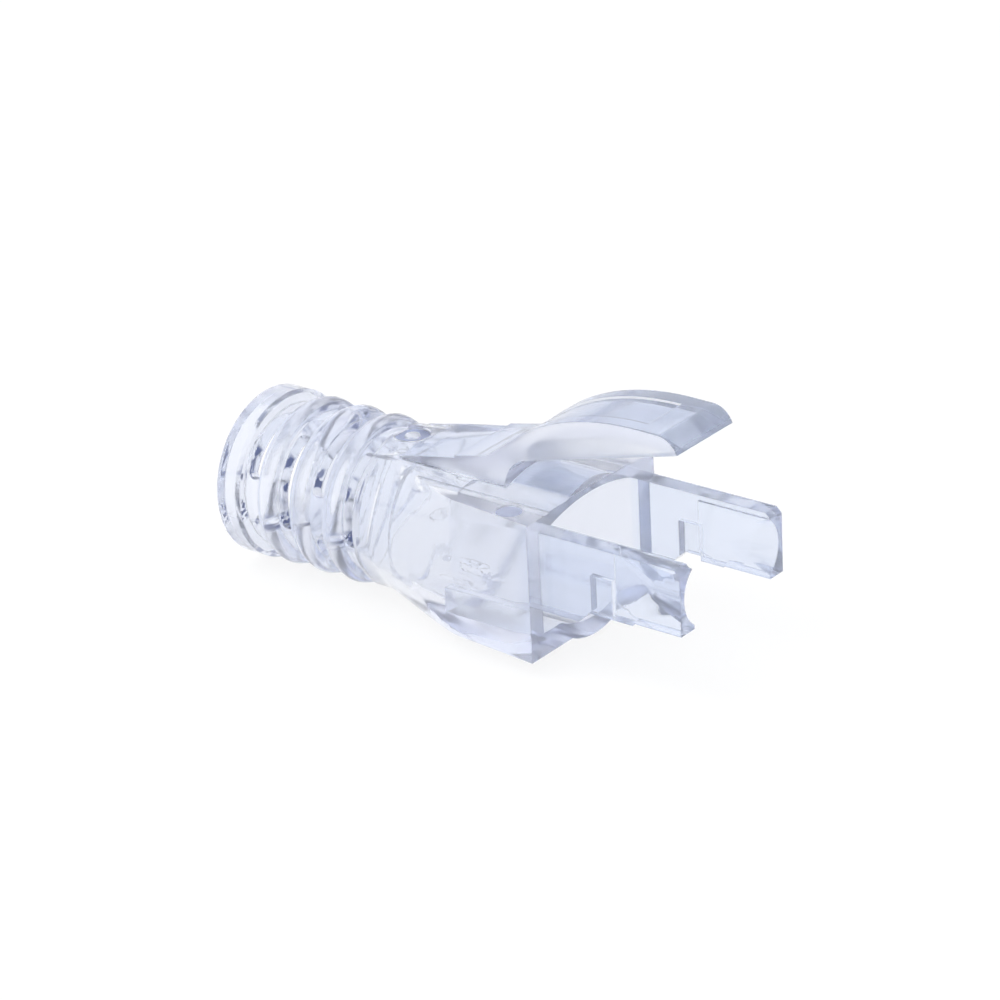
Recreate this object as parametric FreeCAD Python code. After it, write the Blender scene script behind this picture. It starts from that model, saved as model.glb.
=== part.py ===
"""Strain relief boot for an eight-way modular plug, moulded in one piece.

Frame, in millimetres: +X runs along the sleeve's axis from the cable end to the
plug end, +Y runs across the boot and +Z points to the side of the latch guard.
The origin is the centre of the cable bore on the rear face of the sleeve.
"""

import FreeCAD, Part
import math
import os

# Sleeve, which grips the cable.
bore_radius = 3.6
rim_radius = 5.25
rim_length = 1.8
rim_chamfer = 0.2
rib_radius = 5.2
rib_width = 1.3
rib_flank_drop = 0.46
rib_knee_drop = 0.15
rib_knee_inset = 0.22
rib_count = 3
groove_width = 1.2
groove_radius = 4.5

# Slots through the grooves, which let the sleeve bend. The angle is measured
# round the sleeve from the guard's side.
slot_width = 1.0
cross_slot_bridge = 36.0
side_slot_start = 27.0
side_slot_end = 106.0

# Body, which turns from the round neck into the flat shoulder of the plug end.
neck_radius = 5.0
core_radius = 5.08
front_radius = 4.9
front_rise = 0.13
neck_length = 0.85
body_length = 13.95
hollow_radius = 3.0
flare_angle = 17.0
slope_length = 5.7
swell_radius = 5.0
shoulder_angle = 4.5
body_width = 12.3
body_top = 4.5
body_bottom = 4.2

# Flat lands on both shoulders of the roof, with the marks of the ejector pins.
land_drop = 0.09
land_start = 13.6
land_inner = 3.95
ejector_radius = 0.8
ejector_depth = 0.06
ejector_setback = 2.1
ejector_offset = 4.95

# Cavity behind the plug.
cavity_rear = 13.2
cavity_rear_radius = 3.95
cavity_rear_corner = 3.87
cavity_blend = 4.6
cavity_corner = 0.6
roof_spring = 3.6
roof_crown = 4.25
floor_level = 2.8
floor_channel = 3.65
floor_channel_width = 6.6
side_wall = 1.2
arm_root_level = 1.3

# Claw arms, which reach into the plug on both sides of the cable.
arm_setback = 1.12
arm_thickness = 1.13
arm_length = 9.75
arm_top = 3.6
arm_bottom = 0.58
arm_root_length = 2.6
arm_tip_chamfer = 0.35
hook_length = 4.95
hook_rise = 0.15
hook_relief = 0.3
hook_bottom = 0.42
hook_curve_length = 1.6
hook_curve_rise = 0.75
hook_curve_bulge = 0.1
pocket_length = 1.5
pocket_depth = 0.55
pocket_top = 1.65
scoop_length = 2.85
scoop_depth = 0.9
scoop_half_height = 1.75

# Latch guard, a leaf that springs from the roof and arches over the latch.
guard_width = 5.4
guard_root_z = 4.3
guard_root_depth = 0.6
guard_crease_x = 13.7
guard_crease_z = 4.98
guard_step_x = 16.7
guard_step_z = 5.55
guard_step_rise = 0.15
guard_heel_x = 19.0
guard_heel_z = 6.2
guard_crown_x = 29.9
guard_crown_z = 10.3
guard_nose_start = 1.2
guard_nose_start_drop = 0.02
guard_nose_bend = 2.24
guard_nose_bend_drop = 0.33
guard_tip_x = 32.6
guard_tip_z = 9.35
guard_throat_x = 21.7
guard_throat_z = 6.5
guard_throat_reach = 1.3
guard_throat_bend = 1.0
guard_throat_rise = 0.2
leaf_thickness = 1.15
skirt_thickness = 0.9
panel_border = 1.1
panel_depth = 0.14

# The leaf's upper line from its heel to its crown, as shares of its run and its rise.
leaf_line = [(0.0, 0.0), (0.11, 0.2), (0.25, 0.48), (0.45, 0.75), (0.7, 0.935), (1.0, 1.0)]

# Gate mark on top of the neck.
gate_x = 11.4
gate_flat_z = 4.88
gate_flat_length = 3.0
gate_radius = 1.15
gate_depth = 0.22
gate_nub_radius = 0.45
gate_nub_height = 0.12

overlap = 0.4

sleeve_length = rim_length + rib_count * rib_width + (rib_count + 1) * groove_width
body_front = sleeve_length + body_length
half_width = body_width / 2
arm_outer = half_width - arm_setback
arm_inner = arm_outer - arm_thickness
arm_end = body_front + arm_length

X_AXIS = FreeCAD.Vector(1, 0, 0)
Y_AXIS = FreeCAD.Vector(0, 1, 0)
Z_AXIS = FreeCAD.Vector(0, 0, 1)
ORIGIN = FreeCAD.Vector(0, 0, 0)


def point(x, y, z):
    """A point in the boot's frame."""
    return FreeCAD.Vector(x, y, z)


def line(start, end):
    """A straight edge."""
    return Part.LineSegment(start, end).toShape()


def arc(start, middle, end):
    """A circular edge through three points."""
    return Part.Arc(start, middle, end).toShape()


def curve(points):
    """A smooth edge through the points."""
    spline = Part.BSplineCurve()
    spline.interpolate(points)
    return spline.toShape()


def face_from(edges):
    """A flat face bounded by the edges."""
    return Part.Face(Part.Wire(Part.__sortEdges__(edges)))


def polygon_face(points):
    """A flat face with straight sides."""
    return Part.Face(Part.makePolygon(points + [points[0]]))


def mirrored(shape):
    """The shape on the other side of the boot."""
    return shape.mirror(ORIGIN, Y_AXIS)


def both_sides(shape):
    """The shape and its mirror image."""
    return [shape, mirrored(shape)]


def side_extrusion(face, width):
    """A side view, drawn at Y = 0, as a solid centred across the boot."""
    centred = face.copy()
    centred.translate(point(0, -width / 2, 0))
    return centred.extrude(point(0, width, 0))


def section(x, half, top, bottom, corner):
    """A rounded rectangle across the boot's axis, as a wire of eight edges."""
    bevel = corner * (1 - math.sqrt(0.5))
    edges = []
    corners = [(half, top, 1, 1), (half, -bottom, 1, -1), (-half, -bottom, -1, -1), (-half, top, -1, 1)]
    for y, z, out_y, out_z in corners:
        on_flat = point(x, y - out_y * corner, z)
        on_arc = point(x, y - out_y * bevel, z - out_z * bevel)
        on_side = point(x, y, z - out_z * corner)
        ends = (on_flat, on_side) if out_y == out_z else (on_side, on_flat)
        edges.append(arc(ends[0], on_arc, ends[1]))
    count = len(edges)
    joined = []
    for number in range(count):
        following = edges[(number + 1) % count]
        joined.append(edges[number])
        joined.append(line(edges[number].lastVertex().Point, following.firstVertex().Point))
    return Part.Wire(joined)


def rib_outline(x):
    """The edges of one crowned rib, from its rear flank to its front flank."""
    flank = rib_radius - rib_flank_drop
    knee = rib_radius - rib_knee_drop
    front = x + rib_width
    crown = [
        point(x, 0, groove_radius),
        point(x, 0, flank),
        point(x + rib_knee_inset, 0, knee),
        point(x + rib_width / 2, 0, rib_radius),
        point(front - rib_knee_inset, 0, knee),
        point(front, 0, flank),
        point(front, 0, groove_radius),
    ]
    return [line(crown[number], crown[number + 1]) for number in range(len(crown) - 1)]


def sleeve():
    """The rim, the rounded ribs and the grooves, turned about the axis."""
    outline = [
        line(point(sleeve_length + overlap, 0, 0), ORIGIN),
        line(ORIGIN, point(0, 0, rim_radius - rim_chamfer)),
        line(point(0, 0, rim_radius - rim_chamfer), point(rim_chamfer, 0, rim_radius)),
        line(point(rim_chamfer, 0, rim_radius), point(rim_length - rim_chamfer, 0, rim_radius)),
        line(point(rim_length - rim_chamfer, 0, rim_radius), point(rim_length, 0, rim_radius - rim_chamfer)),
        line(point(rim_length, 0, rim_radius - rim_chamfer), point(rim_length, 0, groove_radius)),
    ]
    for number in range(rib_count):
        groove = rim_length + number * (groove_width + rib_width)
        rib = groove + groove_width
        outline.append(line(point(groove, 0, groove_radius), point(rib, 0, groove_radius)))
        outline += rib_outline(rib)
    last_groove = sleeve_length - groove_width
    end = sleeve_length + overlap
    outline.append(line(point(last_groove, 0, groove_radius), point(end, 0, groove_radius)))
    outline.append(line(point(end, 0, groove_radius), point(end, 0, 0)))
    return face_from(outline).revolve(ORIGIN, X_AXIS, 360)


def slot(x, start, end):
    """One slot with round ends, between two angles round the sleeve."""
    reach = rib_radius + overlap
    low = bore_radius - overlap
    half = slot_width / 2
    turn = math.degrees(half / groove_radius)
    blank = polygon_face([
        point(x - half, 0, low),
        point(x + half, 0, low),
        point(x + half, 0, reach),
        point(x - half, 0, reach),
    ])
    blank.rotate(ORIGIN, X_AXIS, start + turn)
    cutter = blank.revolve(ORIGIN, X_AXIS, end - start - 2 * turn)
    rounds = []
    for angle in (start + turn, end - turn):
        pin = Part.makeCylinder(half, reach - low, point(x, 0, low), Z_AXIS)
        pin.rotate(ORIGIN, X_AXIS, angle)
        rounds.append(pin)
    return cutter.fuse(rounds)


def sleeve_slots():
    """Slots over and under the odd grooves, and on the sides of the even ones."""
    cutters = []
    for number in range(rib_count + 1):
        x = rim_length + groove_width / 2 + number * (groove_width + rib_width)
        if number % 2 == 0:
            half_span = 90 - cross_slot_bridge / 2
            cutters.append(slot(x, -half_span, half_span))
            cutters.append(slot(x, 180 - half_span, 180 + half_span))
        else:
            cutters.append(slot(x, side_slot_start, side_slot_end))
            cutters.append(slot(x, -side_slot_end, -side_slot_start))
    return cutters


def swing(centre, radius, start_angle, end_angle):
    """An arc about a centre in the side view. Angles are in degrees from straight up, towards +X."""
    ends = []
    for angle in (start_angle, (start_angle + end_angle) / 2, end_angle):
        turn = math.radians(angle)
        ends.append(centre + point(math.sin(turn), 0, math.cos(turn)) * radius)
    return arc(ends[0], ends[1], ends[2])


def flare_outline():
    """The side line of the neck and flare: straight, hollow, sloping, swelling and slowly widening."""
    steep = math.radians(flare_angle)
    slow = math.radians(shoulder_angle)
    rear = point(sleeve_length, 0, neck_radius)
    start = rear + point(neck_length, 0, 0)
    hollow = start + point(0, 0, hollow_radius)
    hollow_end = hollow + point(math.sin(steep), 0, -math.cos(steep)) * hollow_radius
    slope_end = hollow_end + point(math.cos(steep), 0, math.sin(steep)) * slope_length
    swell = slope_end + point(math.sin(steep), 0, -math.cos(steep)) * swell_radius
    swell_end = swell + point(-math.sin(slow), 0, math.cos(slow)) * swell_radius
    front = swell_end + point(1, 0, math.tan(slow)) * (body_front - swell_end.x)
    return [
        line(rear, start),
        swing(hollow, hollow_radius, 180, 180 - flare_angle),
        line(hollow_end, slope_end),
        swing(swell, swell_radius, -flare_angle, -shoulder_angle),
        line(swell_end, front),
        line(front, point(front.x, 0, 0)),
        line(point(front.x, 0, 0), point(rear.x, 0, 0)),
        line(point(rear.x, 0, 0), rear),
    ]


def body():
    """The turned neck and flare, cut square by the roof, the floor and the sides.

    The round core passes through the flat roof and floor as a low crown.
    """
    turned = face_from(flare_outline()).revolve(ORIGIN, X_AXIS, 360)
    square = Part.makeBox(
        body_length + 2 * overlap,
        body_width,
        body_top + body_bottom,
        point(sleeve_length - overlap, -half_width, -body_bottom),
    )
    core = Part.makeLoft([
        Part.Wire(Part.makeCircle(core_radius, point(sleeve_length - overlap, 0, 0), X_AXIS)),
        Part.Wire(Part.makeCircle(front_radius, point(body_front + overlap, 0, front_rise), X_AXIS)),
    ], True, True)
    return turned.common(square.fuse(core))


def land_cutters():
    """The flat lands beside the roof's crown, and the ejector pins' marks."""
    level = body_top - land_drop
    land = Part.makeBox(
        body_front + overlap - land_start,
        half_width + overlap - land_inner,
        neck_radius,
        point(land_start, land_inner, level),
    )
    mark_base = point(body_front - ejector_setback, ejector_offset, level - ejector_depth)
    mark = Part.makeCylinder(ejector_radius, neck_radius, mark_base, Z_AXIS)
    return both_sides(land) + both_sides(mark)


def cavity():
    """The hollow that takes the rear of the plug, open to the front."""
    blend_end = cavity_rear + cavity_blend
    rear = cavity_rear_radius
    blend = Part.makeLoft([
        section(cavity_rear, rear, rear, rear, cavity_rear_corner),
        section(blend_end, arm_inner, roof_spring, floor_level, cavity_corner),
    ], True, True)
    channel = floor_channel_width / 2
    lower = half_width - side_wall
    front = [
        arc(point(blend_end, -arm_inner, roof_spring), point(blend_end, 0, roof_crown),
            point(blend_end, arm_inner, roof_spring)),
        line(point(blend_end, arm_inner, roof_spring), point(blend_end, arm_inner, -arm_root_level)),
        line(point(blend_end, arm_inner, -arm_root_level), point(blend_end, lower, -arm_root_level)),
        line(point(blend_end, lower, -arm_root_level), point(blend_end, lower, -floor_level)),
        line(point(blend_end, lower, -floor_level), point(blend_end, channel, -floor_level)),
        arc(point(blend_end, channel, -floor_level), point(blend_end, 0, -floor_channel),
            point(blend_end, -channel, -floor_level)),
        line(point(blend_end, -channel, -floor_level), point(blend_end, -lower, -floor_level)),
        line(point(blend_end, -lower, -floor_level), point(blend_end, -lower, -arm_root_level)),
        line(point(blend_end, -lower, -arm_root_level), point(blend_end, -arm_inner, -arm_root_level)),
        line(point(blend_end, -arm_inner, -arm_root_level), point(blend_end, -arm_inner, roof_spring)),
    ]
    mouth = face_from(front).extrude(point(body_front + overlap - blend_end, 0, 0))
    bore = Part.makeCylinder(bore_radius, cavity_rear + overlap, ORIGIN, X_AXIS)
    return [bore, blend, mouth]


def arm():
    """One claw arm on the +Y side, with its hook, pocket and scoop."""
    hook_start = arm_end - hook_length
    pocket_start = hook_start - pocket_length
    root_end = body_front + arm_root_length
    gusset = arm_root_level - arm_bottom
    side = polygon_face([
        point(body_front - overlap, arm_inner, -arm_root_level),
        point(root_end, arm_inner, -arm_root_level),
        point(root_end + gusset, arm_inner, -arm_bottom),
        point(hook_start + hook_curve_length, arm_inner, -arm_bottom),
        point(hook_start + hook_curve_length, arm_inner, -hook_bottom),
        point(arm_end, arm_inner, -hook_bottom),
        point(arm_end, arm_inner, arm_top - arm_tip_chamfer),
        point(arm_end - arm_tip_chamfer, arm_inner, arm_top),
        point(body_front - overlap, arm_inner, arm_top),
    ]).extrude(point(0, arm_thickness, 0))
    pocket = Part.makeBox(
        pocket_length,
        pocket_depth + overlap,
        pocket_top + arm_root_level + overlap,
        point(pocket_start, arm_inner - overlap, -arm_root_level - overlap),
    )
    solid = side.cut(pocket).fuse(hook(hook_start))
    return solid.cut(scoop())


def hook(hook_start):
    """The thicker end of the arm, with its S-shaped rear edge."""
    face_y = arm_inner - hook_rise
    middle = hook_start + hook_curve_length / 2
    end = hook_start + hook_curve_length
    low = -hook_bottom
    high = low + hook_curve_rise
    centre = (low + high) / 2
    bulge = hook_curve_bulge
    upper = arm_top - hook_relief
    edges = [
        line(point(hook_start, face_y, upper), point(hook_start, face_y, high)),
        arc(
            point(hook_start, face_y, high),
            point((hook_start + middle) / 2 - bulge, face_y, (high + centre) / 2 - bulge),
            point(middle, face_y, centre),
        ),
        arc(
            point(middle, face_y, centre),
            point((middle + end) / 2 - bulge, face_y, (centre + low) / 2 - bulge),
            point(end, face_y, low),
        ),
        line(point(end, face_y, low), point(arm_end, face_y, low)),
        line(point(arm_end, face_y, low), point(arm_end, face_y, upper)),
        line(point(arm_end, face_y, upper), point(hook_start, face_y, upper)),
    ]
    return face_from(edges).extrude(point(0, hook_rise + pocket_depth, 0))


def scoop():
    """A cone that opens the inner face of the arm towards its tip."""
    face_y = arm_inner - hook_rise
    end_radius = (scoop_half_height ** 2 + scoop_depth ** 2) / (2 * scoop_depth)
    axis_y = face_y + scoop_depth - end_radius
    first_radius = face_y - axis_y
    slope = (end_radius - first_radius) / scoop_length
    start = arm_end - scoop_length - first_radius / slope
    length = arm_end + overlap - start
    middle_z = (arm_top - hook_bottom) / 2
    return Part.makeCone(0, length * slope, length, point(start, axis_y, middle_z), X_AXIS)


def leaf_top():
    """The points of the leaf's upper edge from the heel to the crown."""
    run = guard_crown_x - guard_heel_x
    rise = guard_crown_z - guard_heel_z
    return [point(guard_heel_x + run * along, 0, guard_heel_z + rise * up) for along, up in leaf_line]


def guard_blank():
    """The side view of the root strip and the arched leaf, as one solid."""
    nose_start = point(guard_crown_x + guard_nose_start, 0, guard_crown_z - guard_nose_start_drop)
    nose_bend = point(guard_crown_x + guard_nose_bend, 0, guard_crown_z - guard_nose_bend_drop)
    tip = point(guard_tip_x, 0, guard_tip_z)
    throat = point(guard_throat_x, 0, guard_throat_z)
    throat_bend_z = (guard_throat_z + body_top) / 2 + guard_throat_rise
    throat_bend = point(guard_throat_x - guard_throat_bend, 0, throat_bend_z)
    throat_end = point(guard_throat_x - guard_throat_reach, 0, body_top - overlap)
    root_x = sleeve_length
    root_low = point(root_x, 0, guard_root_z - guard_root_depth)
    step_top = guard_step_z + guard_step_rise
    edges = [
        line(point(root_x, 0, guard_root_z), point(guard_crease_x, 0, guard_crease_z)),
        line(point(guard_crease_x, 0, guard_crease_z), point(guard_step_x, 0, guard_step_z)),
        line(point(guard_step_x, 0, guard_step_z), point(guard_step_x, 0, step_top)),
        line(point(guard_step_x, 0, step_top), point(guard_heel_x, 0, guard_heel_z)),
        curve(leaf_top()),
        line(point(guard_crown_x, 0, guard_crown_z), nose_start),
        arc(nose_start, nose_bend, tip),
        line(tip, throat),
        arc(throat, throat_bend, throat_end),
        line(throat_end, root_low),
        line(root_low, point(root_x, 0, guard_root_z)),
    ]
    return side_extrusion(face_from(edges), guard_width)


def guard():
    """The latch guard: an arched leaf with a skirt along each side."""
    shape = guard_blank()
    lowered = [top + point(0, 0, -leaf_thickness) for top in leaf_top()]
    under = [low for low in lowered if low.x > guard_throat_x]
    under.insert(0, point(guard_throat_x, 0, guard_throat_z))
    tip = point(guard_tip_x, 0, guard_tip_z)
    below = tip + point(0, 0, -leaf_thickness)
    hollow = face_from([curve(under + [tip]), line(tip, below), line(below, under[0])])
    shape = shape.cut(side_extrusion(hollow, guard_width - 2 * skirt_thickness))
    return shape.cut(guard_panel())


def guard_panel():
    """The shallow recess in the top of the leaf, inside its border."""
    top = leaf_top()[1:]
    low = [above + point(0, 0, -panel_depth) for above in top]
    high = [above + point(0, 0, overlap) for above in top]
    face = face_from([
        curve(low),
        line(low[-1], high[-1]),
        curve(high),
        line(high[0], low[0]),
    ])
    return side_extrusion(face, guard_width - 2 * panel_border)


def gate_mark():
    """The flat on the neck and the round pit that the gate leaves, round a low nub."""
    flat = Part.makeBox(
        gate_flat_length,
        2 * neck_radius,
        neck_radius,
        point(gate_x - gate_flat_length / 2, -neck_radius, gate_flat_z),
    )
    floor = gate_flat_z - gate_depth
    pit = Part.makeCylinder(gate_radius, neck_radius, point(gate_x, 0, floor), Z_AXIS)
    nub = Part.makeCylinder(gate_nub_radius, gate_nub_height, point(gate_x, 0, floor), Z_AXIS)
    return [flat, pit.cut(nub)]


def boot():
    """The whole boot as one solid."""
    shape = sleeve().fuse([body(), guard()])
    shape = shape.cut(cavity() + sleeve_slots() + land_cutters() + gate_mark())
    shape = shape.fuse(both_sides(arm()))
    return shape.removeSplitter()


os.makedirs("parts", exist_ok=True)
whole = boot()
whole.exportStep("parts/boot.step")
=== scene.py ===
"""Dresses the clear strain relief boot and sets it in a plain white studio.

The boot is one moulded piece of clear plastic. Its CAD solid gives the form, and this
script gives it a smooth refractive skin, a studio floor, soft light and a camera.
All lengths are in metres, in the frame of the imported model.
"""

import logging
import math
from dataclasses import dataclass, field
from enum import Enum
from typing import Any, Iterable, Optional, Union

import bpy
from mathutils import Matrix, Vector


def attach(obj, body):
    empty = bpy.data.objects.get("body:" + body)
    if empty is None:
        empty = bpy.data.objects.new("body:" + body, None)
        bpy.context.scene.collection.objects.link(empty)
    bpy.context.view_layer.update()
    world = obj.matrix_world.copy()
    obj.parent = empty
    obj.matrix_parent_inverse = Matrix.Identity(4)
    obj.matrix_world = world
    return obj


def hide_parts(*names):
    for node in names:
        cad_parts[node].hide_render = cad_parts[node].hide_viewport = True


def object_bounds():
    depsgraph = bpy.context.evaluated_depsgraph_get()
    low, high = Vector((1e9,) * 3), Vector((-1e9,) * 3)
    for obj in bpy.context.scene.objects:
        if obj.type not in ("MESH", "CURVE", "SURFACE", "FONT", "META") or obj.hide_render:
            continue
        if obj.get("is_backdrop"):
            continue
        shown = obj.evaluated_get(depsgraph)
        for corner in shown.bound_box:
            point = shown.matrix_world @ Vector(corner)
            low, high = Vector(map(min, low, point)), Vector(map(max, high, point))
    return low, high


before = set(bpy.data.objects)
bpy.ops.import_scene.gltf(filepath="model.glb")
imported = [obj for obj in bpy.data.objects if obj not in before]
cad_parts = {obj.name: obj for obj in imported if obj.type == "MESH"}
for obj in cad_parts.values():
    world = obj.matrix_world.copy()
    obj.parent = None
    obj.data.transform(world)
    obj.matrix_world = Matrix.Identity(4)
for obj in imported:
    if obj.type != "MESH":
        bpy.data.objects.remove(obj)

LOG = logging.getLogger("strain_relief_boot")
MM = 0.001
LIGHT_BOUNCES = 16

Number = Union[int, float]
Pair = tuple[float, float]
Triple = tuple[float, float, float]

WHITE: Triple = (1.0, 1.0, 1.0)


class NodeName(Enum):
    """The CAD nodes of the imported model."""

    BOOT = "boot"


class BodyName(Enum):
    """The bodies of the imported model."""

    ROOT = "root"


class SlotName(Enum):
    """The names of the material slots."""

    BOOT = "boot"


class MixSocket(Enum):
    """The places of the Mix node's colour sockets: three inputs and the output."""

    SHARE = 0
    FIRST = 6
    SECOND = 7
    RESULT = 2


class Signal:
    """One socket's value in a node tree, with the arithmetic of numbers."""

    def __init__(self, graph: "Graph", socket: bpy.types.NodeSocket) -> None:
        """Wraps a socket.

        Args:
            graph: The graph that the socket belongs to.
            socket: The output socket.
        """
        self.graph = graph
        self.socket = socket

    def _math(self, operation: str, *values: Union["Signal", Number]) -> "Signal":
        """Adds one Math node and returns its result."""
        inputs = dict(enumerate(values))
        return self.graph.node("ShaderNodeMath", {"operation": operation}, inputs)

    def __add__(self, other: Union["Signal", Number]) -> "Signal":
        """The sum."""
        return self._math("ADD", self, other)

    def __radd__(self, other: Number) -> "Signal":
        """The sum, with the number first."""
        return self._math("ADD", other, self)

    def __sub__(self, other: Union["Signal", Number]) -> "Signal":
        """The difference."""
        return self._math("SUBTRACT", self, other)

    def __rsub__(self, other: Number) -> "Signal":
        """The difference, with the number first."""
        return self._math("SUBTRACT", other, self)

    def __mul__(self, other: Union["Signal", Number]) -> "Signal":
        """The product."""
        return self._math("MULTIPLY", self, other)

    def __rmul__(self, other: Number) -> "Signal":
        """The product, with the number first."""
        return self._math("MULTIPLY", other, self)

    def at_most(self, other: Union["Signal", Number]) -> "Signal":
        """The smaller of the two.

        Args:
            other: The second value.

        Returns:
            The smaller value.
        """
        return self._math("MINIMUM", self, other)

    def at_least(self, other: Union["Signal", Number]) -> "Signal":
        """The larger of the two.

        Args:
            other: The second value.

        Returns:
            The larger value.
        """
        return self._math("MAXIMUM", self, other)

    def root(self) -> "Signal":
        """The square root.

        Returns:
            The root.
        """
        return self._math("SQRT", self)

    def size(self) -> "Signal":
        """The value without its sign.

        Returns:
            The absolute value.
        """
        return self._math("ABSOLUTE", self)

    def turn_from(self, other: "Signal") -> "Signal":
        """The angle of the direction (other, self), measured from other.

        Args:
            other: The value along the first axis.

        Returns:
            The angle in radians.
        """
        return self._math("ARCTAN2", self, other)

    def band(self, low: float, high: float, edge: float) -> "Signal":
        """A band that is 1 between two values and 0 outside, with soft edges.

        Args:
            low: Where the band begins.
            high: Where the band ends.
            edge: The width of each soft edge, outside the band.

        Returns:
            The band, between 0 and 1.
        """
        return self.rise(low - edge, low) * self.rise(high + edge, high)

    def rise(self, low: float, high: float) -> "Signal":
        """A smooth step from 0 to 1, or from 1 to 0 where low is above high.

        Args:
            low: The value that gives 0.
            high: The value that gives 1.

        Returns:
            The step, clamped between 0 and 1.
        """
        ends = ("To Min", "To Max") if low < high else ("To Max", "To Min")
        inputs = {"Value": self, "From Min": min(low, high), "From Max": max(low, high)}
        inputs.update({ends[0]: 0.0, ends[1]: 1.0})
        return self.graph.node("ShaderNodeMapRange", {"interpolation_type": "SMOOTHSTEP"}, inputs)


class Graph:
    """A node tree that is built by calls."""

    def __init__(self, tree: bpy.types.NodeTree) -> None:
        """Empties a tree and takes it over.

        Args:
            tree: The node tree.
        """
        self.tree = tree
        tree.nodes.clear()

    def node(
        self,
        kind: str,
        settings: Optional[dict[str, Any]] = None,
        inputs: Optional[dict[Union[int, str], Any]] = None,
        output: Union[int, str] = 0,
    ) -> Signal:
        """Adds a node.

        Args:
            kind: The node's type.
            settings: Attributes that are set before the sockets. The key "stops"
                gives a colour ramp's places and colours.
            inputs: Values or signals for the sockets, by name or number.
            output: The output socket that is returned, by name or number.

        Returns:
            The signal of the chosen output.
        """
        made = self.tree.nodes.new(kind)
        for name, value in (settings or {}).items():
            if name == "stops":
                self._set_stops(made.color_ramp, value)
            else:
                setattr(made, name, value)
        for name, value in (inputs or {}).items():
            if isinstance(value, Signal):
                self.tree.links.new(value.socket, made.inputs[name])
            else:
                made.inputs[name].default_value = value
        if not made.outputs:
            return Signal(self, made.inputs[0])
        return Signal(self, made.outputs[output])

    def mix(self, share: Signal, low: Union[Signal, Triple], high: Triple) -> Signal:
        """Mixes a second colour into a first one.

        Args:
            share: The share of the second colour.
            low: The first colour.
            high: The second colour.

        Returns:
            The mixed colour.
        """
        first = low if isinstance(low, Signal) else (*low, 1.0)
        inputs = {MixSocket.SHARE.value: share, MixSocket.FIRST.value: first}
        inputs[MixSocket.SECOND.value] = (*high, 1.0)
        return self.node("ShaderNodeMix", {"data_type": "RGBA"}, inputs, MixSocket.RESULT.value)

    @staticmethod
    def _set_stops(ramp: bpy.types.ColorRamp, stops: Iterable[tuple[float, Triple]]) -> None:
        """Gives a colour ramp its stops."""
        wanted = list(stops)
        while len(ramp.elements) < len(wanted):
            ramp.elements.new(0.5)
        for element, (place, colour) in zip(ramp.elements, wanted):
            element.position = place
            element.color = (*colour, 1.0)


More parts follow.
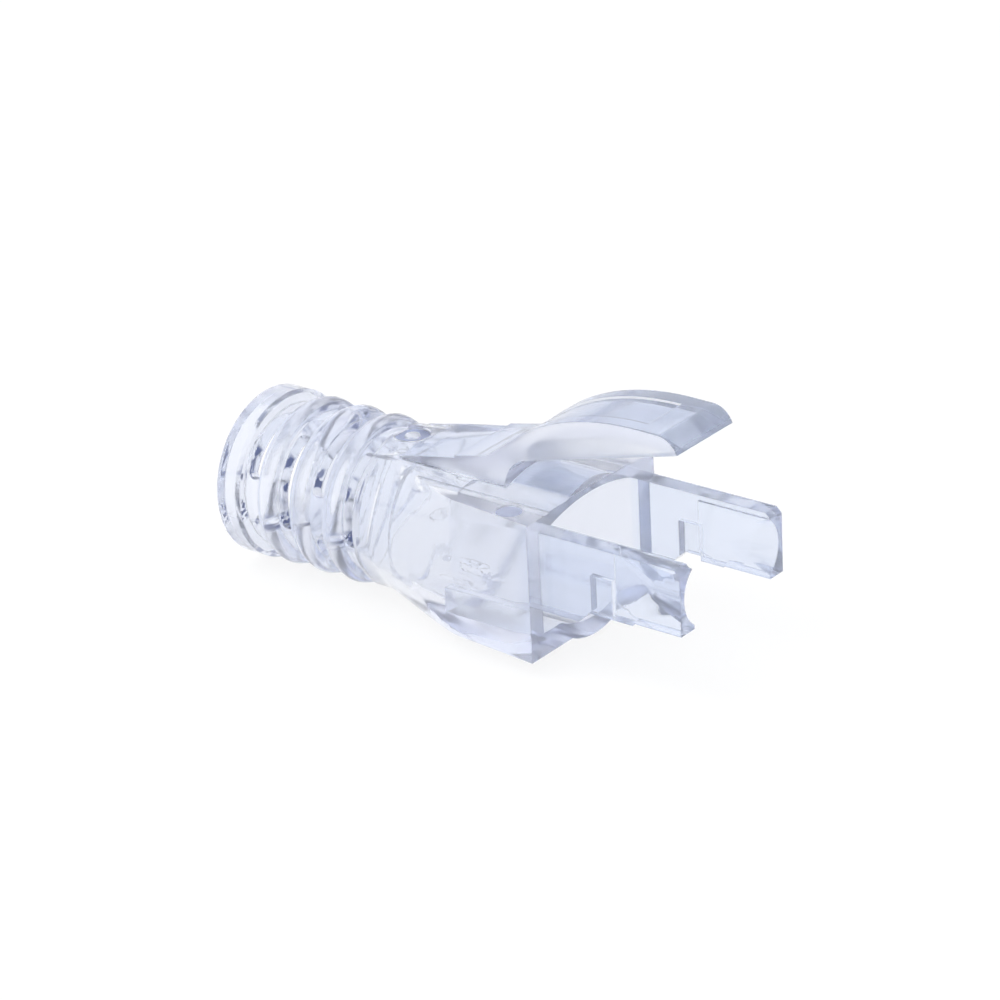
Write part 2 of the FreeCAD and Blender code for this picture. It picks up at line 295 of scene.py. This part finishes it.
@dataclass(frozen=True)
class MouldZones:
    """Where the mould's own marks, the frosted walls and the places of painted shade and of the
    painted glint lie, as masks over the boot's surface.
    """

    edge: float = 0.06 * MM
    slot_low: float = 3.68 * MM
    slot_high: float = 4.44 * MM
    sleeve_end: float = 10.45 * MM
    bore_high: float = 4.15 * MM
    bore_end: float = 17.9 * MM
    cavity_half: float = 5.2 * MM
    cavity_low: float = -3.9 * MM
    cavity_high: float = 4.28 * MM
    cavity_end: float = 24.35 * MM
    guard_level: float = 4.58 * MM
    guard_start: float = 12.6 * MM
    guard_end: float = 32.6 * MM
    glint_centre: Triple = (19.6 * MM, -5.0 * MM, 0.0)
    glint_reach: Triple = (3.2 * MM, 1.8 * MM, 0.7 * MM)
    sole_start: float = 27.6 * MM
    sole_level: float = 1.7 * MM
    sole_middle: float = 4.465 * MM
    sole_half: float = 0.36 * MM
    nose_start: float = 31.1 * MM
    nose_half: float = 2.7 * MM
    pin_x: float = 22.35 * MM
    pin_y: float = 4.95 * MM
    pin_radius: float = 0.8 * MM
    pin_level: float = 4.3 * MM
    gate_x: float = 11.4 * MM
    gate_radius: float = 1.15 * MM
    gate_nub: float = 0.45 * MM
    gate_level: float = 4.55 * MM
    land_start: float = 13.6 * MM
    land_inner: float = 3.95 * MM
    land_level: float = 4.36 * MM
    land_high: float = 4.45 * MM
    land_edge: float = 0.02 * MM
    rim_low: float = 5.0 * MM
    rim_rear: float = 0.2 * MM
    rim_front: float = 1.6 * MM
    rim_end: float = 1.85 * MM
    upper_turn: Pair = (48.0, 75.0)
    lower_turn: Pair = (99.0, 114.0)
    turn_edge: float = 5.0

    def slots(self, x: Signal, radius: Signal) -> Signal:
        """The walls of the slots through the sleeve.

        Args:
            x: The place along the sleeve.
            radius: The distance from the sleeve's axis.

        Returns:
            The mask, between 0 and 1.
        """
        above = radius.rise(self.slot_low, self.slot_low + self.edge)
        below = radius.rise(self.slot_high, self.slot_high - self.edge)
        return above * below * x.rise(self.sleeve_end, self.sleeve_end - self.edge)

    def bore(self, x: Signal, radius: Signal) -> Signal:
        """The wall of the bore.

        Args:
            x: The place along the sleeve.
            radius: The distance from the sleeve's axis.

        Returns:
            The mask, between 0 and 1.
        """
        wall = radius.rise(self.bore_high, self.bore_high - self.edge)
        return wall * x.rise(self.bore_end, self.bore_end - self.edge)

    def cavity(self, x: Signal, y: Signal, z: Signal) -> Signal:
        """The walls of the cavity behind the plug.

        Args:
            x: The place along the sleeve.
            y: The place across.
            z: The height.

        Returns:
            The mask, between 0 and 1.
        """
        across = y.size().rise(self.cavity_half, self.cavity_half - self.edge)
        height = z.band(self.cavity_low, self.cavity_high, self.edge)
        return across * height * x.band(self.bore_end, self.cavity_end, self.edge)

    def guard(self, x: Signal, z: Signal) -> Signal:
        """The latch guard with its root strip.

        Args:
            x: The place along the sleeve.
            z: The height.

        Returns:
            The mask, between 0 and 1.
        """
        above = z.rise(self.guard_level, self.guard_level + self.edge)
        return above * x.band(self.guard_start, self.guard_end, self.edge)

    def flow(self, *place: Signal) -> Signal:
        """The patch inside one side wall that carries the painted glint: its ripple crests are
        tinted white as a painted highlight, and it also gets a bump and a smoother skin.

        Args:
            place: The three coordinates.

        Returns:
            The mask, between 0 and 1.
        """
        ways = zip(place, self.glint_centre, self.glint_reach)
        parts = [(way - middle) * (1 / reach) for way, middle, reach in ways]
        away = (parts[0] * parts[0] + parts[1] * parts[1] + parts[2] * parts[2]).root()
        return away.rise(1.0, 0.4)

    def nose(self, x: Signal, y: Signal, z: Signal) -> Signal:
        """The curved end of the latch guard, without its sides.

        Args:
            x: The place along the sleeve.
            y: The place across.
            z: The height.

        Returns:
            The mask, between 0 and 1.
        """
        across = y.size().rise(self.nose_half, self.nose_half - self.edge)
        return self.guard(x, z) * across * x.rise(self.nose_start - self.edge, self.nose_start)

    def soles(self, x: Signal, y: Signal, z: Signal) -> Signal:
        """The edges under the claws and over each pocket, with what is level with them.

        Args:
            x: The place along the sleeve.
            y: The place across.
            z: The height.

        Returns:
            The mask, between 0 and 1.
        """
        along = x.rise(self.sole_start, self.sole_start + self.edge)
        from_middle = (y.size() - self.sole_middle).size()
        edges = from_middle.rise(self.sole_half - self.edge, self.sole_half)
        return along * edges * z.rise(self.sole_level + self.edge, self.sole_level)

    def turned(self, y: Signal, z: Signal, window: Pair) -> Signal:
        """The part of the sleeve between two angles from the guard's side.

        Args:
            y: The place across.
            z: The height.
            window: The two angles in degrees.

        Returns:
            The mask, between 0 and 1.
        """
        low, high, edge = (math.radians(value) for value in (*window, self.turn_edge))
        return y.size().turn_from(z).band(low, high, edge)

    def rim(self, x: Signal, radius: Signal) -> Signal:
        """The two outer edges of the rim.

        Args:
            x: The place along the sleeve.
            radius: The distance from the sleeve's axis.

        Returns:
            The mask, between 0 and 1.
        """
        rear = x.rise(self.rim_rear + self.edge, self.rim_rear)
        front = x.band(self.rim_front, self.rim_end, self.edge)
        return rear.at_least(front) * radius.rise(self.rim_low, self.rim_low + self.edge)

    def lands(self, x: Signal, y: Signal, z: Signal) -> Signal:
        """The flat lands on the shoulders of the roof.

        Args:
            x: The place along the sleeve.
            y: The place across.
            z: The height.

        Returns:
            The mask, between 0 and 1.
        """
        level = z.band(self.land_level, self.land_high, self.land_edge)
        along = x.rise(self.land_start - self.edge, self.land_start)
        return level * along * y.size().rise(self.land_inner - self.edge, self.land_inner)

    def pins(self, x: Signal, y: Signal, z: Signal) -> Signal:
        """The marks of the ejector pins on the lands.

        Args:
            x: The place along the sleeve.
            y: The place across.
            z: The height.

        Returns:
            The mask, between 0 and 1.
        """
        off_x = x - self.pin_x
        off_y = y.size() - self.pin_y
        away = (off_x * off_x + off_y * off_y).root()
        mark = away.rise(self.pin_radius, self.pin_radius - self.edge)
        return mark * z.rise(self.pin_level, self.pin_level + self.edge)

    def gate(self, x: Signal, y: Signal, z: Signal) -> Signal:
        """The pit that the gate leaves, round its nub.

        Args:
            x: The place along the sleeve.
            y: The place across.
            z: The height.

        Returns:
            The mask, between 0 and 1.
        """
        off_x = x - self.gate_x
        away = (off_x * off_x + y * y).root()
        mark = away.band(self.gate_nub + self.edge, self.gate_radius - 2 * self.edge, self.edge)
        return mark * z.rise(self.gate_level, self.gate_level + self.edge)


@dataclass(frozen=True)
class NoiseLayer:
    """One layer of noise through the plastic."""

    size: float
    detail: float = 1.0
    roughness: float = 0.5
    distortion: float = 0.0

    def build(self, graph: Graph, place: Signal) -> Signal:
        """Adds the noise to a node tree.

        Args:
            graph: The material's node tree.
            place: The place in the plastic.

        Returns:
            The noise, mostly between 0.3 and 0.7.
        """
        inputs = {
            "Vector": place,
            "Scale": 1 / self.size,
            "Detail": self.detail,
            "Roughness": self.roughness,
            "Distortion": self.distortion,
        }
        return graph.node("ShaderNodeTexNoise", {"noise_dimensions": "3D"}, inputs)


@dataclass(frozen=True)
class SkinMarks:
    """The masks that the material reads, each between 0 and 1, and the ripple of the painted
    glint.
    """

    sleeve: Signal
    arms: Signal
    level: Signal
    guard: Signal
    nose: Signal
    bore: Signal
    cavity: Signal
    lands: Signal
    pins: Signal
    gate: Signal
    flow: Signal
    ripple: Signal
    strokes: Signal


@dataclass(frozen=True)
class ClearPlastic:
    """Clear moulded plastic with a pale violet cast.

    The sleeve, the arms, the cavity, the nose and the latch guard's level faces are
    tinted deeper than the body and the lands lighter: painted shade and painted light
    on one uniform plastic. The core of the mould leaves the inner walls finely
    frosted. The dark metallic strokes on the slot walls, the rim's edges and the
    claws' soles, and the darker gate pit and ejector marks, are painted shade; the
    white ripple crests in one side wall are a painted highlight.
    """

    name: str = "clear_moulded_plastic"
    body_tint: Triple = (0.95, 0.966, 1.0)
    # Past the body's own tint, these colours are painted shade and painted light on one uniform
    # plastic: darker for the cavity, sleeve, arms, guard's level faces, nose, ejector marks, gate
    # pit and strokes, lighter for the lands, white for the ripple crests.
    cavity_shade_tint: Triple = (0.905, 0.932, 1.0)
    sleeve_shade_tint: Triple = (0.90, 0.925, 0.99)
    arm_shade_tint: Triple = (0.84, 0.885, 0.98)
    leaf_shade_tint: Triple = (0.70, 0.755, 0.89)
    nose_shade_tint: Triple = (0.79, 0.86, 1.0)
    land_light_tint: Triple = (0.98, 0.985, 1.0)
    pin_shade_tint: Triple = (0.66, 0.72, 0.93)
    gate_shade_tint: Triple = (0.42, 0.48, 0.74)
    shade_stroke_tint: Triple = (0.18, 0.21, 0.35)
    glint_tint: Triple = WHITE
    stroke: NoiseLayer = NoiseLayer(1.1 * MM)
    crinkle: NoiseLayer = NoiseLayer(0.3 * MM)
    upper_cut: Pair = (0.49, 0.57)
    lower_cut: Pair = (0.48, 0.54)
    rim_cut: Pair = (0.54, 0.62)
    rim_share: float = 0.7
    sole_cut: Pair = (0.36, 0.42)
    sole_share: float = 0.4
    crest_cut: Pair = (0.48, 0.56)
    level_turn: Pair = (0.4, 0.8)
    tint_start: float = 23.0 * MM
    tint_end: float = 25.0 * MM
    absorption_colour: Triple = (0.22, 0.32, 0.93)
    absorption_density: float = 13.0
    refraction: float = 1.45
    clearness: float = 0.90
    skin_roughness: float = 0.03
    bloom_roughness: float = 0.08
    guard_roughness: float = 0.15
    guard_side_roughness: float = 0.32
    bore_roughness: float = 0.10
    cavity_roughness: float = 0.20
    mark_roughness: float = 0.38
    glint_clearing: float = 0.9
    bloom: NoiseLayer = NoiseLayer(4.0 * MM, detail=3.0, roughness=0.6)
    wave: NoiseLayer = NoiseLayer(1.6 * MM, detail=2.0, roughness=0.45)
    wave_height: float = 0.003 * MM
    grain: NoiseLayer = NoiseLayer(0.12 * MM)
    grain_height: float = 0.002 * MM
    ripple: NoiseLayer = NoiseLayer(0.7 * MM, distortion=0.6)
    ripple_height: float = 0.22 * MM
    edge_radius: float = 0.10 * MM
    edge_samples: int = 2
    zones: MouldZones = field(default_factory=MouldZones)

    def _marks(self, graph: Graph, place: Signal) -> SkinMarks:
        """Finds where each mark of the mould lies, and where the painted shade and the painted
        glint go.
        """
        zones = self.zones
        x, y, z = (graph.node("ShaderNodeSeparateXYZ", {}, {0: place}, axis) for axis in "XYZ")
        radius = (y * y + z * z).root()
        facing = graph.node("ShaderNodeTexCoord", output="Normal")
        upright = graph.node("ShaderNodeSeparateXYZ", {}, {0: facing}, "Z").size()
        level = upright.rise(*self.level_turn)
        guard = zones.guard(x, z)
        stroke = self.stroke.build(graph, place)
        crinkle = self.crinkle.build(graph, place)
        # Dark strokes of painted shade: on the slot walls in two turns of the sleeve, on the rim's
        # edges and on the claws' soles.
        upper = zones.turned(y, z, zones.upper_turn) * stroke.rise(*self.upper_cut)
        lower = zones.turned(y, z, zones.lower_turn) * crinkle.rise(*self.lower_cut)
        rim = zones.rim(x, radius) * stroke.rise(*self.rim_cut) * self.rim_share
        soles = zones.soles(x, y, z) * level * stroke.rise(*self.sole_cut) * self.sole_share
        return SkinMarks(
            sleeve=x.rise(zones.gate_x, zones.sleeve_end),
            arms=x.rise(self.tint_start, self.tint_end) * (1 - guard),
            level=level,
            guard=guard,
            nose=zones.nose(x, y, z),
            bore=zones.bore(x, radius),
            cavity=zones.cavity(x, y, z),
            lands=zones.lands(x, y, z),
            pins=zones.pins(x, y, z),
            gate=zones.gate(x, y, z),
            flow=zones.flow(x, y, z),
            ripple=self.ripple.build(graph, place),
            strokes=(zones.slots(x, radius) * upper.at_least(lower)).at_least(rim).at_least(soles),
        )

    def _tint_with_painted_light(self, graph: Graph, marks: SkinMarks) -> Signal:
        """Lays the tints over one another: the body's own tint, then painted shade and painted
        light by region, dark strokes of painted shade and white ripple crests as a painted
        highlight.
        """
        # The sleeve's deeper tint is painted shade; the layers below add painted shade and painted
        # light by region.
        tint = graph.mix(marks.sleeve, self.body_tint, self.sleeve_shade_tint)
        layers = [
            (marks.arms, self.arm_shade_tint),
            (marks.cavity, self.cavity_shade_tint),
            (marks.guard * marks.level, self.leaf_shade_tint),
            (marks.nose, self.nose_shade_tint),
            (marks.lands, self.land_light_tint),
            (marks.pins, self.pin_shade_tint),
            (marks.gate, self.gate_shade_tint),
            (marks.strokes, self.shade_stroke_tint),
            # White ripple crests: a painted highlight.
            (marks.flow * marks.ripple.rise(*self.crest_cut), self.glint_tint),
        ]
        for share, colour in layers:
            tint = graph.mix(share, tint, colour)
        return tint

    def _haze(self, graph: Graph, place: Signal, marks: SkinMarks) -> Signal:
        """Works out the roughness: a faint bloom, and the frosted parts."""
        bloom = (self.bloom.build(graph, place) - 0.5).at_least(0.0)
        haze = bloom * (2 * self.bloom_roughness) + self.skin_roughness
        side_extra = self.guard_side_roughness - self.guard_roughness
        side = self.guard_side_roughness - side_extra * marks.level
        haze = haze.at_least(marks.guard * side)
        haze = haze.at_least(marks.bore * self.bore_roughness)
        haze = haze.at_least(marks.cavity * self.cavity_roughness)
        haze = haze.at_least(marks.pins.at_least(marks.gate) * self.mark_roughness)
        return haze * (1 - marks.flow * self.glint_clearing)

    def _relief(self, graph: Graph, place: Signal, marks: SkinMarks) -> Signal:
        """Builds the surface's normal: rounded edges, grain, slow waves and the ripple under the
        painted glint.
        """
        normal = graph.node(
            "ShaderNodeBevel", {"samples": self.edge_samples}, {"Radius": self.edge_radius}
        )
        layers = [
            (self.grain_height, self.grain.build(graph, place)),
            (self.wave_height, self.wave.build(graph, place)),
            (self.ripple_height, marks.ripple * marks.flow),
        ]
        for distance, height in layers:
            inputs = {"Strength": 1.0, "Distance": distance, "Height": height, "Normal": normal}
            normal = graph.node("ShaderNodeBump", {}, inputs)
        return normal

    def build(self) -> bpy.types.Material:
        """Makes the material.

        Returns:
            The finished material.
        """
        material = bpy.data.materials.new(self.name)
        material.use_nodes = True
        graph = Graph(material.node_tree)
        place = graph.node("ShaderNodeTexCoord", output="Object")
        marks = self._marks(graph, place)
        surface = graph.node(
            "ShaderNodeBsdfPrincipled",
            {},
            {
                "Base Color": self._tint_with_painted_light(graph, marks),
                # Metallic on the dark strokes makes them reflect dark: painted shade.
                "Metallic": marks.strokes,
                "Roughness": self._haze(graph, place, marks),
                "IOR": self.refraction,
                "Transmission Weight": self.clearness,
                "Normal": self._relief(graph, place, marks),
            },
        )
        depth = graph.node(
            "ShaderNodeVolumeAbsorption",
            {},
            {"Color": (*self.absorption_colour, 1.0), "Density": self.absorption_density},
        )
        graph.node("ShaderNodeOutputMaterial", {}, {"Surface": surface, "Volume": depth})
        return material


@dataclass(frozen=True)
class StudioWhite:
    """The white of the floor, which still takes a soft shadow."""

    name: str = "studio_white"
    colour: Triple = (0.97, 0.97, 0.975)
    shade_share: float = 0.14

    def build(self) -> bpy.types.Material:
        """Makes the material: mostly an even white, with a share that takes light and shade.

        Returns:
            The finished material.
        """
        material = bpy.data.materials.new(self.name)
        material.use_nodes = True
        graph = Graph(material.node_tree)
        path = "ShaderNodeLightPath"
        camera = graph.node(path, output="Is Camera Ray")
        mirrored = graph.node(path, output="Is Glossy Ray")
        through = graph.node(path, output="Is Transmission Ray")
        seen = (camera + mirrored + through).at_most(1.0)
        even = graph.node("ShaderNodeEmission", {}, {"Color": (*WHITE, 1.0), "Strength": 1.0})
        matt = graph.node("ShaderNodeBsdfDiffuse", {}, {"Color": (*self.colour, 1.0)})
        mixed = graph.node(
            "ShaderNodeMixShader", {}, {0: seen * (1 - self.shade_share), 1: matt, 2: even}
        )
        graph.node("ShaderNodeOutputMaterial", {}, {"Surface": mixed})
        return material


@dataclass
class BootShell:
    """The moulded boot, with a smooth skin between its crisp edges."""

    name: str = "boot_shell"
    merge_distance: float = 0.002 * MM
    smooth_angle: float = 42.0
    finish: ClearPlastic = field(default_factory=ClearPlastic)
    piece: Optional[bpy.types.Object] = None

    def skin_tree(self, material: bpy.types.Material) -> bpy.types.NodeTree:
        """Builds the tree that joins the solid's facets and smooths what is round.

        Args:
            material: The skin's material.

        Returns:
            The geometry node tree.
        """
        tree = bpy.data.node_groups.new("boot_skin", "GeometryNodeTree")
        face = tree.interface
        face.new_socket("Geometry", in_out="INPUT", socket_type="NodeSocketGeometry")
        face.new_socket("Merge Distance", in_out="INPUT", socket_type="NodeSocketFloat")
        face.new_socket("Smooth Angle", in_out="INPUT", socket_type="NodeSocketFloat")
        face.new_socket("Geometry", in_out="OUTPUT", socket_type="NodeSocketGeometry")
        graph = Graph(tree)
        start = tree.nodes.new("NodeGroupInput")
        joined = graph.node(
            "GeometryNodeMergeByDistance",
            {},
            {
                "Geometry": Signal(graph, start.outputs["Geometry"]),
                "Distance": Signal(graph, start.outputs["Merge Distance"]),
            },
        )
        whole = graph.node(
            "GeometryNodeSetShadeSmooth",
            {"domain": "FACE"},
            {"Geometry": joined, "Shade Smooth": True},
        )
        bend = graph.node("GeometryNodeInputMeshEdgeAngle", output="Unsigned Angle")
        crisp = graph.node(
            "FunctionNodeCompare",
            {"data_type": "FLOAT", "operation": "GREATER_THAN"},
            {0: bend, 1: Signal(graph, start.outputs["Smooth Angle"])},
        )
        edged = graph.node(
            "GeometryNodeSetShadeSmooth",
            {"domain": "EDGE"},
            {"Geometry": whole, "Selection": crisp, "Shade Smooth": False},
        )
        solid = graph.node("GeometryNodeRealizeInstances", {}, {"Geometry": edged})
        dressed = graph.node(
            "GeometryNodeSetMaterial", {}, {"Geometry": solid, "Material": material}
        )
        end = tree.nodes.new("NodeGroupOutput")
        tree.links.new(dressed.socket, end.inputs["Geometry"])
        return tree

    def build(self) -> bpy.types.Object:
        """Makes the shell from the CAD solid's mesh.

        Returns:
            The finished piece.
        """
        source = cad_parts[NodeName.BOOT.value]
        draft = bpy.data.objects.new(self.name + "_draft", source.data.copy())
        bpy.context.scene.collection.objects.link(draft)
        draft.data.materials.clear()
        material = self.finish.build()
        tree = self.skin_tree(material)
        modifier = draft.modifiers.new("skin", "NODES")
        modifier.node_group = tree
        sizes = {
            "Merge Distance": self.merge_distance,
            "Smooth Angle": math.radians(self.smooth_angle),
        }
        for item in tree.interface.items_tree:
            if item.in_out == "INPUT" and item.name in sizes:
                modifier[item.identifier] = sizes[item.name]
        graph = bpy.context.evaluated_depsgraph_get()
        mesh = bpy.data.meshes.new_from_object(draft.evaluated_get(graph))
        mesh.name = self.name
        bpy.data.objects.remove(draft)
        self.piece = bpy.data.objects.new(self.name, mesh)
        bpy.context.scene.collection.objects.link(self.piece)
        return self.piece

    def dress(self) -> None:
        """Puts the shell in the place of the CAD solid."""
        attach(self.piece, BodyName.ROOT.value)
        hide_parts(NodeName.BOOT.value)

    def report(self) -> None:
        """Logs the shell's size."""
        LOG.info("%s: %d faces", self.piece.name, len(self.piece.data.polygons))


@dataclass
class Studio:
    """A white floor, a white surround and one soft lamp.

    The places of the band and of the dimming are shares of the surround's height,
    from 0 straight below to 1 straight above.
    """

    floor_size: float = 3.0
    key_energy: float = 1.2
    key_size: float = 0.35
    key_place: Triple = (-0.15, -0.25, 0.45)
    surround: Triple = (0.99, 1.0, 1.035)
    surround_strength: float = 1.05
    dim: Triple = (0.955, 0.98, 1.03)
    dark: Triple = (0.30, 0.33, 0.48)
    band_start: float = 0.545
    band_low: float = 0.55
    band_high: float = 0.565
    band_end: float = 0.57
    dim_start: float = 0.64
    dim_full: float = 0.76
    finish: StudioWhite = field(default_factory=StudioWhite)

    def floor(self, level: float) -> bpy.types.Object:
        """Lays the floor under the object.

        Args:
            level: The floor's height.

        Returns:
            The floor.
        """
        half = self.floor_size / 2
        around = ((-half, -half), (half, -half), (half, half), (-half, half))
        corners = [(across, along, level) for across, along in around]
        mesh = bpy.data.meshes.new("studio_floor")
        mesh.from_pydata(corners, [], [(0, 1, 2, 3)])
        mesh.materials.append(self.finish.build())
        floor = bpy.data.objects.new("studio_floor", mesh)
        bpy.context.scene.collection.objects.link(floor)
        floor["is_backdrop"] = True
        return floor

    def lamp(self, centre: Vector) -> bpy.types.Object:
        """Hangs the soft key lamp and points it at the object.

        Args:
            centre: The middle of the object.

        Returns:
            The lamp.
        """
        data = bpy.data.lights.new("key_lamp", "AREA")
        data.shape = "DISK"
        data.size = self.key_size
        data.energy = self.key_energy
        lamp = bpy.data.objects.new("key_lamp", data)
        lamp.location = Vector(self.key_place)
        lamp.visible_glossy = False
        lamp.visible_transmission = False
        lamp.rotation_euler = (centre - lamp.location).to_track_quat("-Z", "Y").to_euler()
        bpy.context.scene.collection.objects.link(lamp)
        return lamp

    def world(self) -> bpy.types.World:
        """Makes the surround: white, with a dim band low round the room for the glass to show.

        Returns:
            The world.
        """
        world = bpy.data.worlds.new("studio_surround")
        world.use_nodes = True
        graph = Graph(world.node_tree)
        direction = graph.node("ShaderNodeTexCoord", output="Generated")
        height = graph.node("ShaderNodeSeparateXYZ", {}, {0: direction}, "Z")
        share = height * 0.5 + 0.5
        band = graph.node(
            "ShaderNodeValToRGB",
            {
                "stops": [
                    (0.0, self.surround),
                    (self.band_start, self.surround),
                    (self.band_low, self.dark),
                    (self.band_high, self.dark),
                    (self.band_end, self.surround),
                    (self.dim_start, self.surround),
                    (self.dim_full, self.dim),
                    (1.0, self.dim),
                ]
            },
            {0: share},
        )
        seen = graph.node("ShaderNodeLightPath", output="Is Camera Ray")
        colour = graph.mix(seen, band, WHITE)
        strength = self.surround_strength - seen * (self.surround_strength - 1.0)
        back = graph.node("ShaderNodeBackground", {}, {"Color": colour, "Strength": strength})
        graph.node("ShaderNodeOutputWorld", {}, {"Surface": back})
        bpy.context.scene.world = world
        return world


@dataclass
class Viewpoint:
    """The camera, by where it looks from."""

    azimuth: float = 38.864
    elevation: float = 24.5
    roll: float = -3.022
    distance: float = 0.250
    lens: float = 147.3
    sensor: float = 36.0
    aim: Triple = (0.011479, 0.007789, -0.002496)
    near_share: float = 0.05
    far_share: float = 40.0

    def build(self) -> bpy.types.Object:
        """Makes the camera.

        Returns:
            The camera.
        """
        turn = math.radians(self.azimuth)
        rise = math.radians(self.elevation)
        lean = math.radians(self.roll)
        right = Vector((math.cos(turn), math.sin(turn), 0.0))
        ahead = Vector((
            -math.sin(turn) * math.cos(rise),
            math.cos(turn) * math.cos(rise),
            -math.sin(rise),
        ))
        up = right.cross(ahead)
        side = right * math.cos(lean) + up * math.sin(lean)
        top = up * math.cos(lean) - right * math.sin(lean)
        data = bpy.data.cameras.new("camera")
        data.lens = self.lens
        data.sensor_width = self.sensor
        data.clip_start = self.distance * self.near_share
        data.clip_end = self.distance * self.far_share
        camera = bpy.data.objects.new("camera", data)
        turned = Matrix((side, top, -ahead)).transposed().to_4x4()
        place = Vector(self.aim) - ahead * self.distance
        camera.matrix_world = Matrix.Translation(place) @ turned
        bpy.context.scene.collection.objects.link(camera)
        bpy.context.scene.camera = camera
        return camera


def main() -> None:
    """Builds the boot and its studio."""
    logging.basicConfig(level=logging.INFO, format="%(name)s: %(message)s")
    scene = bpy.context.scene
    scene.view_settings.view_transform = "Standard"
    for kind in ("max_bounces", "glossy_bounces", "transmission_bounces"):
        setattr(scene.cycles, kind, LIGHT_BOUNCES)
    solid_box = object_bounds()
    Viewpoint().build()
    shell = BootShell()
    shell.build()
    shell.dress()
    shell.report()
    low, high = solid_box
    studio = Studio()
    studio.floor(low.z)
    studio.lamp((low + high) / 2)
    studio.world()


if __name__ == "__main__":
    main()
